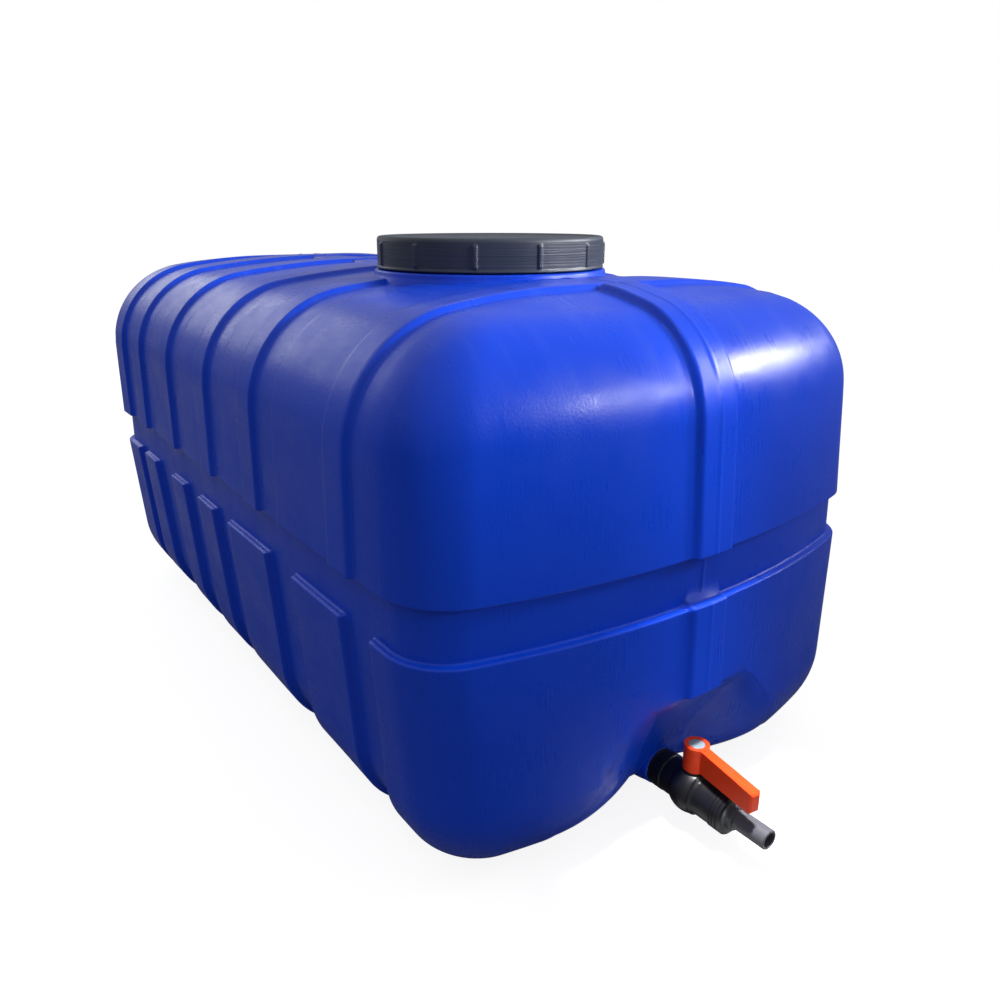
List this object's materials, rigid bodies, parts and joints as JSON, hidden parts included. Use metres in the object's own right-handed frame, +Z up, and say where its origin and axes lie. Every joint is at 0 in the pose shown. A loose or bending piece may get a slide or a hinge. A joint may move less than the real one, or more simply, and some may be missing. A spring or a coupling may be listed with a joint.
{
  "type": "water tank",
  "caption": "Ribbed blow-moulded water tank with a screw lid on a round neck and a low outlet ball valve with lever and hose spigot.",
  "frame": {"origin": "centre of the body's underside, on the floor plane", "axes": "+X along the tank towards the outlet valve, +Z up"},
  "size_m": [1.158, 0.61, 0.5776],
  "materials": {
    "tank_plastic": "satin moulded",
    "lid_plastic": "satin moulded",
    "seal_rubber": "matt",
    "fitting_plastic": "satin moulded",
    "ball_plastic": "smooth",
    "seat_plastic": "smooth",
    "lever_plastic": "satin moulded",
    "screw_steel": "zinc plated",
    "cap_plastic": "satin moulded",
    "bush_plastic": "satin moulded",
    "pipe_plastic": "satin extruded"
  },
  "bodies": {
    "tank": {"tank_shell": "tank_plastic", "bulkhead_fitting": "fitting_plastic", "bulkhead_washer_inner": "seal_rubber", "bulkhead_washer_outer": "seal_rubber", "bulkhead_nut": "fitting_plastic", "valve_body": "fitting_plastic", "ball_seat_inner": "seat_plastic", "ball_seat_outer": "seat_plastic", "seat_carrier": "fitting_plastic", "carrier_oring": "seal_rubber", "outlet_seal": "seal_rubber", "outlet_bush": "bush_plastic", "hose_spigot": "pipe_plastic"},
    "lever": {"lever_handle": "lever_plastic", "handle_screw": "screw_steel", "handle_cap": "cap_plastic", "valve_stem": "ball_plastic", "valve_ball": "ball_plastic", "stem_oring_lower": "seal_rubber", "stem_oring_upper": "seal_rubber"},
    "lid_seal": {"lid_gasket": "seal_rubber"},
    "lid": {"lid": "lid_plastic"}
  },
  "joints": [
    {"name": "lever_turn", "type": "hinge", "parent": "tank", "child": "lever", "pos_m": [0.5297, 0, 0.039], "axis": [0, 0, 1], "range_deg": [-82.8, 7.2]},
    {"name": "lid_lift", "type": "slide", "parent": "tank", "child": "lid_seal", "axis": [0, 0, 1], "range_m": [0, 0.12]},
    {"name": "lid_turn", "type": "hinge", "parent": "lid_seal", "child": "lid", "pos_m": [0.169, 0, 0.57], "axis": [0, 0, 1], "range_deg": [0, 450]}
  ]
}
